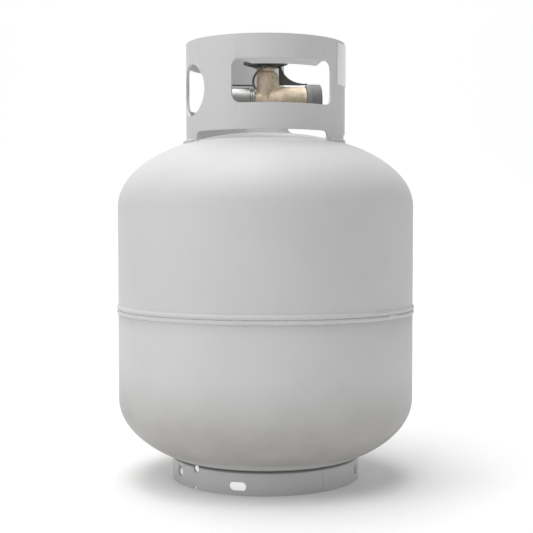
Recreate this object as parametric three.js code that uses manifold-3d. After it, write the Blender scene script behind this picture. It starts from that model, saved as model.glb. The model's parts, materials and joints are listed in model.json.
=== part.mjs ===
// A refillable portable gas cylinder: a two-piece welded steel vessel on a foot ring, with a guard
// collar round a brass valve. Millimetres, +Z up, origin at the centre of the foot ring's underside.
// Azimuths are in degrees from the front (-Y), positive towards the right (+X).
import * as THREE from "three";
import { mergeVertices } from "three/addons/utils/BufferGeometryUtils.js";
import Module from "manifold-3d";

const wasm = await Module();
wasm.setup();

// ---- Driving dimensions -------------------------------------------------------------------------
const GAP = 0.35; // between neighbouring solids
const SHELL_SEGMENTS = 56;
const SHEET_SEGMENTS = 72;
const SMALL_SEGMENTS = 20;

// Vessel
const BODY_RADIUS = 155;
const WALL = 1.95;
const HEAD_POWER = 2.05; // a head slightly fuller than an ellipse, whose power is 2
const UPPER_TANGENT_Z = 284.4;
const UPPER_RISE = 78.2;
const LOWER_TANGENT_Z = 85.2;
const LOWER_RISE = 77.9;
const SEAM_Z = 178;
const JOGGLE_LAP = 12;

// Collar
const COLLAR_RADIUS = 83.4;
const COLLAR_SHEET = 2.6;
const COLLAR_TOP_Z = 454;
const COLLAR_FOOT_Z = 352.3;
const COLLAR_SKIRT_Z = 360.6;
const WINDOW_BOTTOM_Z = 386.5;
const WINDOW_TOP_Z = 430.5;
const WINDOW_CORNER = 9;
const FRONT_WINDOW = [-24, 53];
const REAR_WINDOW = [-140, -94];
const VALVE_GAP = [90, 165.6];
const HAND_HOLE = { azimuth: -66, z: 403.3, radius: 26.5 };
const COLLAR_FEET = [[-88, -57], [49, 76], [168, 187], [-142, -120]];
const LIP_DROP = 6.5;
const LIP_REACH = 4.5;

// Foot ring
const FOOT_RADIUS = 98.7;
const FOOT_SHEET = 2.4;
const FOOT_TOP_Z = 22.8;
const FOOT_WELDS = [110, 180, -110];

// Valve: the outlet points to the right and a little to the rear, the relief boss the other way
const OUTLET_AZIMUTH = 98;
const RELIEF_AZIMUTH = OUTLET_AZIMUTH - 180;
const BLEEDER_AZIMUTH = OUTLET_AZIMUTH + 90;
const PORT_Z = 396;
const BLEEDER_Z = 407;
const BOSS_RADIUS = 22;
const BOSS_TOP_Z = 372;
const BARREL_RADIUS = 9.4;
const BARREL_TOP_Z = 426.4;
const STEM_RADIUS = 3.5;
const SPINDLE_BORE = 6;
const SEAT_Z = 389;
const SIDE_DRILL = 8.7; // radius at which the dip-tube and relief drillings run down the body
const WHEEL_RADIUS = 22.5;
const WHEEL_LOBE = 3.5;
const WHEEL_BOTTOM_Z = 432.6;
const WHEEL_PLATE_Z = 435.4;
const WHEEL_TOP_Z = 442.4;
const CAP_RADIUS = 18.2;
const CAP_NECK_RADIUS = 17;
const CAP_START = 42.4;
const CAP_END = 58;
const OUTLET_END = 54.2;
const EYE_BOTTOM_Z = 430.6; // the strap's eye, between the bonnet and the handwheel
const EYE_TOP_Z = 432.1;

// Float of the overfill stop
const PIVOT_Z = 308;
const ARM_LENGTH = 46;
const FLOAT_RADIUS = 9;
const FLOAT_LENGTH = 44;

// ---- Materials ----------------------------------------------------------------------------------
const finish = (color, roughness, metalness) => ({ color, roughness, metalness });
const PAINT = finish(0xc9cacd, 0.45, 0.1);
const WELD_PAINT = finish(0xc2c3c6, 0.5, 0.1);
const PLATE = finish(0xdedfe0, 0.5, 0.2);
const BRASS = finish(0xb29a78, 0.35, 1.0);
const NICKEL = finish(0xa7a9a8, 0.35, 1.0);
const STEEL = finish(0x9a9c9f, 0.4, 1.0);
const DARK_PLASTIC = finish(0x3c3c3e, 0.55, 0.0);
const CAP_PLASTIC = finish(0x5c5d5d, 0.6, 0.0);
const RUBBER = finish(0x1e1e1f, 0.8, 0.0);
const FLOAT_PLASTIC = finish(0x8a8c86, 0.6, 0.0);

// ---- Solids -------------------------------------------------------------------------------------
const radians = THREE.MathUtils.degToRad;

function signedVolume(positions, triangles) {
  const corner = [new THREE.Vector3(), new THREE.Vector3(), new THREE.Vector3()];
  let volume = 0;
  for (let t = 0; t < triangles.length; t += 3) {
    corner.forEach((v, k) => v.fromArray(positions, 3 * triangles[t + k]));
    volume += corner[0].dot(corner[1].cross(corner[2])) / 6;
  }
  return volume;
}

// Turns a closed three.js geometry into a manifold solid with its faces pointing out.
function solid(geometry) {
  const plain = geometry.clone();
  plain.deleteAttribute("normal");
  plain.deleteAttribute("uv");
  const merged = mergeVertices(plain, 1e-4);
  const positions = Float32Array.from(merged.attributes.position.array);
  const triangles = [];
  const index = merged.index.array;
  for (let t = 0; t < index.length; t += 3) {
    const [a, b, c] = [index[t], index[t + 1], index[t + 2]];
    if (a !== b && b !== c && c !== a) triangles.push(a, b, c);
  }
  if (signedVolume(positions, triangles) < 0) triangles.reverse();
  const mesh = new wasm.Mesh({
    numProp: 3, vertProperties: positions, triVerts: Uint32Array.from(triangles),
  });
  return new wasm.Manifold(mesh);
}

function geometryOf(manifold) {
  const mesh = manifold.getMesh();
  const geometry = new THREE.BufferGeometry();
  geometry.setAttribute("position", new THREE.BufferAttribute(mesh.vertProperties.slice(), 3));
  geometry.setIndex(new THREE.BufferAttribute(mesh.triVerts.slice(), 1));
  geometry.computeVertexNormals();
  return geometry;
}

const union = (first, ...others) => others.reduce((all, next) => all.add(next), first);
const cutAll = (body, cutters) => cutters.reduce((left, cutter) => left.subtract(cutter), body);

// A solid of revolution round the vertical axis. The profile is a list of [radius, z].
function turned(profile, segments = SMALL_SEGMENTS) {
  const points = profile.map(([r, z]) => new THREE.Vector2(r, z));
  const onAxis = profile[0][0] === 0 && profile.at(-1)[0] === 0;
  if (!onAxis) points.push(points[0].clone());
  return solid(new THREE.LatheGeometry(points, segments).rotateX(Math.PI / 2));
}

const rod = (radius, low, high, segments) =>
  turned([[0, low], [radius, low], [radius, high], [0, high]], segments);

const tube = (inner, outer, low, high, segments) =>
  turned([[inner, low], [outer, low], [outer, high], [inner, high]], segments);

function prism(shape, low, high, curveSegments = 8) {
  const options = { depth: high - low, bevelEnabled: false, curveSegments };
  return solid(new THREE.ExtrudeGeometry(shape, options).translate(0, 0, low));
}

const polygon = (points) => new THREE.Shape(points.map(([x, y]) => new THREE.Vector2(x, y)));

function hexagon(acrossFlats) {
  const corner = acrossFlats / Math.sqrt(3);
  const turns = [0, 1, 2, 3, 4, 5].map((k) => radians(60 * k));
  return polygon(turns.map((a) => [corner * Math.cos(a), corner * Math.sin(a)]));
}

// Lays a solid made along +Z onto a level axis: its z becomes the distance from the tank's axis.
function alongPort(body, azimuth, z = PORT_Z) {
  const turn = new THREE.Matrix4().makeRotationZ(radians(azimuth - 90));
  const lay = new THREE.Matrix4().makeRotationY(Math.PI / 2);
  const place = new THREE.Matrix4().makeTranslation(0, 0, z).multiply(turn).multiply(lay);
  return solid(geometryOf(body).applyMatrix4(place));
}

// Stands an outline drawn in (distance along the outlet, z) upright on the plane of the outlet.
function standing(shape, halfThickness) {
  const upright = new THREE.Matrix4().makeRotationZ(radians(OUTLET_AZIMUTH - 90))
    .multiply(new THREE.Matrix4().makeRotationX(Math.PI / 2));
  return solid(geometryOf(prism(shape, -halfThickness, halfThickness)).applyMatrix4(upright));
}

// Cuts straight through a curved sheet: an outline in (azimuth, z) is swept out along the radius.
function radialPrism(shape, innerRadius = 40, outerRadius = 150, curveSegments = 8) {
  const options = { depth: 1, bevelEnabled: false, curveSegments };
  const geometry = new THREE.ExtrudeGeometry(shape, options);
  const place = geometry.attributes.position;
  for (let i = 0; i < place.count; i++) {
    const azimuth = radians(place.getX(i));
    const r = THREE.MathUtils.lerp(innerRadius, outerRadius, place.getZ(i));
    place.setXYZ(i, r * Math.sin(azimuth), -r * Math.cos(azimuth), place.getY(i));
  }
  return solid(geometry);
}

// A rectangle in (azimuth, z) whose corners are rounded by a true radius on the sheet.
function roundedPanel([start, end], low, high, corner, radius) {
  const turn = THREE.MathUtils.radToDeg(corner / radius);
  const shape = new THREE.Shape();
  const round = (centreX, centreZ, from) => {
    for (let k = 0; k <= 4; k++) {
      const a = radians(from + 22.5 * k);
      shape.lineTo(centreX + turn * Math.cos(a), centreZ + corner * Math.sin(a));
    }
  };
  shape.moveTo(start + turn, low);
  round(end - turn, low + corner, 270);
  round(end - turn, high - corner, 0);
  round(start + turn, high - corner, 90);
  round(start + turn, low + corner, 180);
  shape.closePath();
  return shape;
}

function roundHole(azimuth, z, radius, sheetRadius, points = 24) {
  const turn = THREE.MathUtils.radToDeg(radius / sheetRadius);
  const corners = Array.from({ length: points }, (_, k) => {
    const a = (2 * Math.PI * k) / points;
    return [azimuth + turn * Math.cos(a), z + radius * Math.sin(a)];
  });
  return polygon(corners);
}

// A length of a ring, between two azimuths less than 150 degrees apart.
function ringSector(profile, start, end, segments = SHEET_SEGMENTS) {
  const zs = profile.map(([, z]) => z);
  const wedge = polygon([
    [start, Math.min(...zs) - 1], [end, Math.min(...zs) - 1],
    [end, Math.max(...zs) + 1], [start, Math.max(...zs) + 1],
  ]);
  return turned(profile, segments).intersect(radialPrism(wedge, 0.5, 400));
}

// A wire coil along +Z.
function coil(radius, wire, low, high, turns) {
  const steps = turns * 10;
  const points = Array.from({ length: steps + 1 }, (_, k) => {
    const a = (2 * Math.PI * k) / 10;
    return new THREE.Vector3(
      radius * Math.cos(a), radius * Math.sin(a), THREE.MathUtils.lerp(low, high, k / steps));
  });
  const path = new THREE.CatmullRomCurve3(points);
  const section = roundShape(wire, 4);
  return solid(new THREE.ExtrudeGeometry(section, { extrudePath: path, steps, bevelEnabled: false }));
}

function roundShape(radius, sides) {
  const angles = Array.from({ length: sides }, (_, k) => (2 * Math.PI * k) / sides);
  return polygon(angles.map((a) => [radius * Math.cos(a), radius * Math.sin(a)]));
}

// ---- Vessel -------------------------------------------------------------------------------------
// Points of a pressed head from its rim in to the given radius, as [radius, height above tangent].
function headCurve(radius, rise, innermost, steps) {
  const last = Math.acos((innermost / radius) ** (HEAD_POWER / 2));
  return Array.from({ length: steps + 1 }, (_, k) => {
    const t = (last * k) / steps;
    const r = radius * Math.cos(t) ** (2 / HEAD_POWER);
    return [k === steps ? innermost : r, rise * Math.sin(t) ** (2 / HEAD_POWER)];
  });
}

function upperShell() {
  const hole = BOSS_RADIUS + GAP;
  const outside = headCurve(BODY_RADIUS, UPPER_RISE, hole, 8);
  const inside = headCurve(BODY_RADIUS - WALL, UPPER_RISE - WALL, hole, 5).reverse();
  const head = [...outside, ...inside].map(([r, z]) => [r, UPPER_TANGENT_Z + z]);
  return turned([[BODY_RADIUS, SEAM_Z], ...head, [BODY_RADIUS - WALL, SEAM_Z]], SHELL_SEGMENTS);
}

function lowerShell() {
  const outside = headCurve(BODY_RADIUS, LOWER_RISE, 0, 8).reverse();
  const inside = headCurve(BODY_RADIUS - WALL, LOWER_RISE - WALL, 0, 5);
  const below = ([r, z]) => [r, LOWER_TANGENT_Z - z];
  const lapRadius = BODY_RADIUS - WALL - 0.4;
  const lap = [
    [BODY_RADIUS, SEAM_Z - 4], [lapRadius, SEAM_Z - 0.5], [lapRadius, SEAM_Z + JOGGLE_LAP],
    [lapRadius - WALL, SEAM_Z + JOGGLE_LAP], [lapRadius - WALL, SEAM_Z],
    [BODY_RADIUS - WALL, SEAM_Z - 5],
  ];
  return turned([...outside.map(below), ...lap, ...inside.map(below)], SHELL_SEGMENTS);
}

// Two passes of weld side by side, with a root that fills the groove where the lap is joggled in.
function girthWeld() {
  const face = BODY_RADIUS + GAP;
  return turned([
    [face, 172.2], [156.6, 173.2], [157.3, 175.4], [156.4, 177.8], [157.5, 180.6], [156.8, 182.9],
    [face, 184], [face, SEAM_Z - GAP], [153.9, SEAM_Z - GAP], [154.9, SEAM_Z - 2.4], [face, 174.6],
  ], SHELL_SEGMENTS);
}

const neckBoss = () => tube(13.2, BOSS_RADIUS, 353, BOSS_TOP_Z);

const bossWeld = () =>
  turned([[BOSS_RADIUS + GAP, 362.4], [27.5, 362], [25.8, 364.8], [BOSS_RADIUS + GAP, 366.4]]);

// ---- Collar -------------------------------------------------------------------------------------
// The opening for the valve runs the full height; the sheet's top corners beside it are rounded.
function valveGapOutline() {
  const [start, end] = VALVE_GAP;
  const corner = 11;
  const turn = THREE.MathUtils.radToDeg(corner / COLLAR_RADIUS);
  const top = COLLAR_TOP_Z;
  const quarter = [0, 1, 2, 3, 4, 5, 6].map((k) => radians(15 * k));
  const right = quarter.map((a) => [end + turn * (1 - Math.cos(a)), top - corner * (1 - Math.sin(a))]);
  const left = quarter.map((a) => [start - turn * (1 - Math.cos(a)), top - corner * (1 - Math.sin(a))]);
  const low = COLLAR_FOOT_Z - 5;
  return polygon([
    [start, low], [end, low], ...right, [end + turn, top + 5], [start - turn, top + 5],
    ...left.reverse(),
  ]);
}

// The space under the skirt between two feet, with filleted upper corners.
function skirtOutline(start, end) {
  return roundedPanel([start, end], COLLAR_FOOT_Z - 20, COLLAR_SKIRT_Z, 4.5, COLLAR_RADIUS);
}

// A hem folded in and down along the top edge of a window.
function windowLip([start, end]) {
  const inner = COLLAR_RADIUS - COLLAR_SHEET;
  const slope = LIP_REACH / LIP_DROP;
  const sheet = 2.2;
  const top = WINDOW_TOP_Z + 0.6;
  const bottom = WINDOW_TOP_Z - LIP_DROP;
  const profile = [
    [inner + 1.2, top + 1.4], [inner - 1.4, top + 1.4], [inner - LIP_REACH, bottom],
    [inner - LIP_REACH + sheet, bottom], [inner + 1.2 - slope, top - 1.6],
  ];
  return ringSector(profile, start + 9, end - 9);
}

function collar() {
  const inner = COLLAR_RADIUS - COLLAR_SHEET;
  const ring = tube(inner, COLLAR_RADIUS, COLLAR_FOOT_Z, COLLAR_TOP_Z, SHEET_SEGMENTS);
  const window = (span) => radialPrism(
    roundedPanel(span, WINDOW_BOTTOM_Z, WINDOW_TOP_Z, WINDOW_CORNER, COLLAR_RADIUS));
  const { azimuth, z, radius } = HAND_HOLE;
  const [footLeft, footRight, footGap, footRear] = COLLAR_FEET;
  const skirt = [
    [footLeft[1], footRight[0]], [footRight[1], VALVE_GAP[0] + 12],
    [footGap[1], footRear[0] + 360], [footRear[1], footLeft[0]],
  ].map(([start, end]) => radialPrism(skirtOutline(start, end)));
  const sheet = cutAll(ring, [
    radialPrism(valveGapOutline()), window(FRONT_WINDOW), window(REAR_WINDOW),
    radialPrism(roundHole(azimuth, z, radius, COLLAR_RADIUS)), ...skirt,
  ]);
  return union(sheet, windowLip(FRONT_WINDOW));
}

// A fillet weld along the outside of one collar foot.
function collarFootWeld([start, end]) {
  const face = COLLAR_RADIUS + GAP;
  return ringSector([[face, 351.7], [88, 350.2], [86.6, 352.6], [face, 355]], start + 3, end - 3);
}

function dataPlate() {
  const plate = tube(COLLAR_RADIUS + GAP, COLLAR_RADIUS + GAP + 0.9, 405, 453, SHEET_SEGMENTS);
  return plate.intersect(radialPrism(roundedPanel([61, 84], 409, 451, 2.5, COLLAR_RADIUS)));
}

// ---- Foot ring ----------------------------------------------------------------------------------
function slotOutline(azimuth, z, length, height) {
  const half = THREE.MathUtils.radToDeg(length / 2 / FOOT_RADIUS);
  const ends = [azimuth - half, azimuth + half];
  return roundedPanel(ends, z - height / 2, z + height / 2, height / 2 - 0.01, FOOT_RADIUS);
}

// The same set of holes is punched in the front half and again, turned round, in the rear half.
function footRing() {
  const ring = tube(FOOT_RADIUS - FOOT_SHEET, FOOT_RADIUS, 0, FOOT_TOP_Z, SHEET_SEGMENTS);
  const holes = [0, 180].flatMap((turn) => [
    slotOutline(turn - 16.3, 8.6, 17.6, 8.8),
    roundHole(turn - 62.6, 14, 6, FOOT_RADIUS, 12),
    roundHole(turn + 70.6, 13, 6, FOOT_RADIUS, 12),
    roundHole(turn - 45, 21, 4, FOOT_RADIUS, 12),
    roundHole(turn - 46, 0, 3, FOOT_RADIUS, 12),
  ]);
  return cutAll(ring, holes.map((outline) => radialPrism(outline)));
}

// A short fillet weld from the ring's top edge up to the lower head.
const footRingWeld = (azimuth) => ringSector(
  [[99.2, 17.5], [101.6, 18.6], [106.5, 26.6], [104.5, 26.8], [99.2, 23.2]],
  azimuth - 13, azimuth + 13);

// ---- Valve --------------------------------------------------------------------------------------
function valveBody() {
  const outlet = alongPort(turned([
    [0, 0], [12.4, 8], [15.2, 14], [15.2, 42], [14.4, 42], [14.4, OUTLET_END - 1],
    [13.4, OUTLET_END], [0, OUTLET_END],
  ], 28), OUTLET_AZIMUTH);
  const reliefBoss = alongPort(rod(9, 0, 26), RELIEF_AZIMUTH);
  const bleederBoss = alongPort(rod(4.5, 4, 14), BLEEDER_AZIMUTH, BLEEDER_Z);
  const gusset = polygon([
    [0, 405], [14.6, 405], [13.6, 412], [13.2, 421], [10.8, 425.2], [8, BARREL_TOP_Z],
    [0, BARREL_TOP_Z],
  ]);
  const barrel = turned([
    [0, 381], [10.8, 381], [10.8, PORT_Z], [BARREL_RADIUS, 408], [BARREL_RADIUS, BARREL_TOP_Z],
    [0, BARREL_TOP_Z],
  ]);
  const forging = union(
    rod(12.8, 346, 373), prism(hexagon(27), BOSS_TOP_Z + GAP, 382),
    barrel, standing(gusset, 7), outlet, reliefBoss, bleederBoss);
  const down = (azimuth, radius, top) => rod(radius, 340, top, 12).translate([
    SIDE_DRILL * Math.sin(radians(azimuth)), -SIDE_DRILL * Math.cos(radians(azimuth)), 0]);
  return cutAll(forging, [
    rod(5.5, 340, 372), rod(3.2, 371, SEAT_Z + 1), rod(SPINDLE_BORE, SEAT_Z, 430),
    rod(8.2, 410.7, 430),
    alongPort(rod(9.5, 18, 60), OUTLET_AZIMUTH), alongPort(rod(4, 3, 19), OUTLET_AZIMUTH),
    alongPort(rod(3, 7.5, 30, 16), RELIEF_AZIMUTH), down(RELIEF_AZIMUTH, 1.5, PORT_Z),
    alongPort(rod(1.9, 8, 20, 14), BLEEDER_AZIMUTH, BLEEDER_Z), down(BLEEDER_AZIMUTH, 1.2, BLEEDER_Z),
  ]);
}

function bonnetNut() {
  const body = union(
    rod(7.8, 413.9, 427), prism(hexagon(19), BARREL_TOP_Z + GAP, 430.3), rod(7.9, 429, 432.2));
  return body.subtract(rod(STEM_RADIUS + 0.3, 410, 435));
}

function valveStem() {
  const shaft = turned([
    [0, 408.5], [5.5, 408.5], [5.5, 410.4], [STEM_RADIUS, 410.4], [STEM_RADIUS, 441], [0, 441],
  ]);
  const tongue = prism(polygon([[-4.5, -0.8], [4.5, -0.8], [4.5, 0.8], [-4.5, 0.8]]), 401.6, 409);
  return union(shaft, tongue).subtract(rod(1.8, 431, 445, 16));
}

function lowerSpindle() {
  const slot = polygon([[-8, -1.2], [8, -1.2], [8, 1.2], [-8, 1.2]]);
  return rod(5.6, 391.6, 404).subtract(prism(slot, 397, 410));
}

// A flat three-lobed wheel with a shallow underside and a coned hub on the stem.
function lobedOutline(radius, lobe) {
  const points = Array.from({ length: 36 }, (_, k) => {
    const a = (2 * Math.PI * k) / 36;
    const r = radius - lobe * Math.sin(3 * a);
    return [r * Math.cos(a), r * Math.sin(a)];
  });
  return polygon(points);
}

function handwheel() {
  const plate = prism(lobedOutline(WHEEL_RADIUS, WHEEL_LOBE), WHEEL_BOTTOM_Z, WHEEL_PLATE_Z);
  const underside = prism(lobedOutline(WHEEL_RADIUS - 3, WHEEL_LOBE), WHEEL_BOTTOM_Z - 1, 433.6);
  const hub = rod(9, WHEEL_BOTTOM_Z, WHEEL_TOP_Z);
  const cone = turned([[0, 435], [17.5, 435], [9, 439.5], [0, 439.5]]);
  return union(plate.subtract(underside), hub, cone).subtract(rod(STEM_RADIUS + 0.3, 430, 450));
}

const handwheelWasher = () => tube(1.9, 6.5, 442.4 + GAP, 443.8);

function handwheelScrew() {
  const screw = turned([[0, 432], [1.5, 432], [1.5, 444.1], [4.4, 444.1], [4.1, 446], [0, 446.8]]);
  const slot = polygon([[-6, -0.6], [6, -0.6], [6, 0.6], [-6, 0.6]]);
  return screw.subtract(prism(slot, 445.4, 450));
}

function bleederScrew() {
  const screw = turned([[0, 8.4], [1.55, 8.4], [1.55, 14.3], [3.5, 14.3], [3.5, 16.4], [0, 17]], 20);
  const slot = polygon([[-5, -0.5], [5, -0.5], [5, 0.5], [-5, 0.5]]);
  return alongPort(screw.subtract(prism(slot, 15.8, 20)), BLEEDER_AZIMUTH, BLEEDER_Z);
}

// Relief valve: a sleeve on the left boss, with a sprung poppet on the end of the brass port
const reliefBody = () => alongPort(turned([
  [9.4, 13], [13, 13], [14, 14], [14, 39], [13, 40], [4, 40], [4, 38], [7.5, 38], [7.5, 26.4],
  [9.4, 26.4],
]), RELIEF_AZIMUTH);

const reliefPoppet = () => alongPort(turned([
  [0, 26.5], [6.2, 26.5], [6.2, 28.3], [1.8, 28.3], [1.8, 36.5], [0, 36.5],
], 20), RELIEF_AZIMUTH);

// Outlet: a sprung check plunger behind a rubber seal
const checkPlunger = () => alongPort(turned([
  [0, 24], [2.2, 24], [2.2, 45], [7.4, 45], [7.4, 47.6], [4.4, 48.4], [4.4, 53], [0, 53.8],
], 20), OUTLET_AZIMUTH);

const dustCap = () => alongPort(turned([
  [0, 56.3], [14.8, 56.3], [14.8, CAP_START], [CAP_NECK_RADIUS, CAP_START],
  [CAP_NECK_RADIUS, 45.8], [CAP_RADIUS, 46.4], [CAP_RADIUS, CAP_END - 1], [CAP_RADIUS - 1, CAP_END],
  [0, CAP_END],
], 28), OUTLET_AZIMUTH);

// A moulded strap: an eye round the bonnet neck, a web down to the dust cap, a loop that wraps the
// front of the valve, and a tail along the relief valve.
function capTether() {
  const web = new THREE.Shape();
  web.moveTo(14.6, 413);
  web.lineTo(36, 413);
  web.lineTo(42, 413.45);
  web.lineTo(45.2, 413.45);
  web.lineTo(45.2, 414.9);
  web.lineTo(40, 414.9);
  web.quadraticCurveTo(20.5, 416.5, 16.6, EYE_TOP_Z);
  web.lineTo(11, EYE_TOP_Z);
  web.lineTo(11, EYE_BOTTOM_Z);
  web.lineTo(14, EYE_BOTTOM_Z);
  web.closePath();
  const path = [
    [-4.4, 431.7], [-28.2, 426.8], [-48.9, 422.6], [-62.5, 418.4], [-65.3, 413.9], [-54.1, 410],
    [-43.6, 407],
  ];
  const halfTurn = 5.25;
  const loop = polygon([
    ...path.map(([azimuth, z]) => [azimuth - halfTurn, z]),
    ...path.map(([azimuth, z]) => [azimuth + halfTurn, z]).reverse(),
  ]);
  const ledge = [[11, EYE_BOTTOM_Z], [15.2, EYE_BOTTOM_Z], [15.2, EYE_TOP_Z], [11, EYE_TOP_Z]];
  const tail = polygon([[-40, 410.7], [-12.6, 410.7], [-12.6, 412.3], [-40, 412.3]]);
  const forward = 5;
  const ahead = radians(OUTLET_AZIMUTH - 90);
  return union(
    tube(8.3, 12, EYE_BOTTOM_Z, EYE_TOP_Z), standing(web, 1.5), ringSector(ledge, -14, 6, 40),
    radialPrism(loop, 13.2, 15.2),
    standing(tail, 1.2).translate([forward * Math.sin(ahead), -forward * Math.cos(ahead), 0]));
}

// ---- Overfill stop ------------------------------------------------------------------------------
const lyingRod = (radius, half, z, segments) => {
  const lay = new THREE.Matrix4().makeRotationX(Math.PI / 2);
  const place = new THREE.Matrix4().makeTranslation(0, 0, z).multiply(lay);
  return solid(geometryOf(rod(radius, -half, half, segments)).applyMatrix4(place));
};

function opdHousing() {
  const slot = prism(polygon([[-8, -1.6], [8, -1.6], [8, 1.6], [-8, 1.6]]), 300, 317);
  const body = turned([[0, 303], [6.8, 303], [6.8, 345.6], [5, 345.6], [5, 318], [0, 318]]);
  return cutAll(body, [slot, lyingRod(1.3, 10, PIVOT_Z, 12)]);
}

function dipTube() {
  const x = SIDE_DRILL * Math.sin(radians(BLEEDER_AZIMUTH));
  const y = -SIDE_DRILL * Math.cos(radians(BLEEDER_AZIMUTH));
  return tube(0.8, 1.5, 268, 345.6, 12).translate([x, y, 0]);
}

function floatArm() {
  const bar = new THREE.Shape();
  bar.absarc(0, PIVOT_Z, 3.2, radians(-60), radians(240));
  bar.lineTo(-1.6, PIVOT_Z - ARM_LENGTH);
  bar.lineTo(1.6, PIVOT_Z - ARM_LENGTH);
  bar.closePath();
  const upright = new THREE.Matrix4().makeRotationX(Math.PI / 2);
  const flat = solid(geometryOf(prism(bar, -1.2, 1.2)).applyMatrix4(upright));
  return flat.subtract(lyingRod(1.3, 5, PIVOT_Z, 12));
}

function opdFloat() {
  const top = PIVOT_Z - ARM_LENGTH - GAP;
  const low = top - FLOAT_LENGTH;
  return turned([
    [0, low], [FLOAT_RADIUS - 1, low], [FLOAT_RADIUS, low + 1], [FLOAT_RADIUS, top - 1],
    [FLOAT_RADIUS - 1, top], [0, top],
  ]);
}

// ---- Assembly -----------------------------------------------------------------------------------
const cylinder = new THREE.Group();

function place(name, body, look) {
  const mesh = new THREE.Mesh(geometryOf(body), new THREE.MeshStandardMaterial(look));
  mesh.name = name;
  cylinder.add(mesh);
}

place("upper_shell", upperShell(), PAINT);
place("lower_shell", lowerShell(), PAINT);
place("girth_weld", girthWeld(), WELD_PAINT);
place("neck_boss", neckBoss(), PAINT);
place("boss_weld", bossWeld(), WELD_PAINT);
place("collar", collar(), PAINT);
["left", "right", "gap", "rear"].forEach((side, k) => {
  place(`collar_weld_${side}`, collarFootWeld(COLLAR_FEET[k]), WELD_PAINT);
});
place("foot_ring", footRing(), PAINT);
["right", "rear", "left"].forEach((side, k) => {
  place(`foot_ring_weld_${side}`, footRingWeld(FOOT_WELDS[k]), WELD_PAINT);
});
place("data_plate", dataPlate(), PLATE);

place("valve_body", valveBody(), BRASS);
place("bonnet_nut", bonnetNut(), BRASS);
place("stem_packing", tube(3.85, 7.8, 411.1, 413.5), RUBBER);
place("valve_stem", valveStem(), STEEL);
place("lower_spindle", lowerSpindle(), BRASS);
place("seat_disc", rod(5.4, SEAT_Z + GAP, 391.2), RUBBER);
place("handwheel", handwheel(), DARK_PLASTIC);
place("handwheel_washer", handwheelWasher(), STEEL);
place("handwheel_screw", handwheelScrew(), STEEL);
place("bleeder_screw", bleederScrew(), BRASS);
place("relief_body", reliefBody(), NICKEL);
place("relief_poppet", reliefPoppet(), BRASS);
place("relief_spring", alongPort(coil(4.6, 0.6, 29.2, 37.2, 4), RELIEF_AZIMUTH), STEEL);
place("outlet_seal", alongPort(tube(5.2, 9.2, 49, 53), OUTLET_AZIMUTH), RUBBER);
place("check_plunger", checkPlunger(), BRASS);
place("check_spring", alongPort(coil(5.4, 0.7, 19, 44, 6), OUTLET_AZIMUTH), STEEL);
place("dust_cap", dustCap(), CAP_PLASTIC);
place("cap_tether", capTether(), DARK_PLASTIC);

place("opd_housing", opdHousing(), BRASS);
place("opd_plunger", rod(4.6, 322, 336), FLOAT_PLASTIC);
place("float_pivot_pin", lyingRod(1, 6.4, PIVOT_Z, 12), STEEL);
place("float_arm", floatArm(), STEEL);
place("opd_float", opdFloat(), FLOAT_PLASTIC);
place("dip_tube", dipTube(), STEEL);

export default cylinder;
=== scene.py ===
# %% [markdown]
# # A portable gas cylinder
#
# The real object is a welded steel vessel for liquid gas: two pressed halves joined by a weld
# round the middle, a foot ring to stand on, and a guard collar round a brass valve. The engineering
# model already fixes every size and every moving axis. This lesson loads it as a frame, models the
# visible pieces again with a finer surface, and gives each one a finish that is built from nodes.

# %% Load the engineering model as the frame
import json
import math
import bmesh
import bpy
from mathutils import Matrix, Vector


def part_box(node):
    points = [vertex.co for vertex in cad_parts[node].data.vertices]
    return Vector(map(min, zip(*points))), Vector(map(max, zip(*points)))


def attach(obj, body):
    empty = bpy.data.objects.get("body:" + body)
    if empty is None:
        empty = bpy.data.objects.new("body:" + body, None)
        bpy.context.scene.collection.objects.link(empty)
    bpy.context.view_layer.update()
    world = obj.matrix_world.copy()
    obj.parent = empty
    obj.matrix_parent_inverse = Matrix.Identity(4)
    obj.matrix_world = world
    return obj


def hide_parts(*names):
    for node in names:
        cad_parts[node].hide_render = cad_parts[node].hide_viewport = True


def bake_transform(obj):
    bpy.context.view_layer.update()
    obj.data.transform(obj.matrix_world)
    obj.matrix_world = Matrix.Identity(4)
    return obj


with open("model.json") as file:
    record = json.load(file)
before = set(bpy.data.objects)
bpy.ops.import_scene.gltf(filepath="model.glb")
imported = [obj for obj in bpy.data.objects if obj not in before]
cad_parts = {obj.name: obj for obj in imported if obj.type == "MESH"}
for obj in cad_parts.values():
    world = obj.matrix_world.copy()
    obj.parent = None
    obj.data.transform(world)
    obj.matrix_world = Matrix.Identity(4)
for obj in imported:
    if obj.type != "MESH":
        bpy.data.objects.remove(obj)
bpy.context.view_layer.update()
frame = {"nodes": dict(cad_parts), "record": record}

# %% [markdown]
# Sizes are thought of in millimetres, as on a drawing, and multiplied by MM when they reach
# Blender, which works in metres. The main radii and heights are read from the frame, so that this
# lesson can't drift away from the engineering model. Azimuths are degrees from the front of the
# cylinder, positive towards the right.

# %% Sizes that the frame gives
MM = 0.001


def radial(azimuth):
    """The level direction at an azimuth."""
    a = math.radians(azimuth)
    return Vector((math.sin(a), -math.cos(a), 0.0))


def measure(node):
    """How far a round node reaches from the axis, its bottom and its top, in millimetres."""
    low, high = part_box(node)
    return -low.x / MM, low.z / MM, high.z / MM


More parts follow.
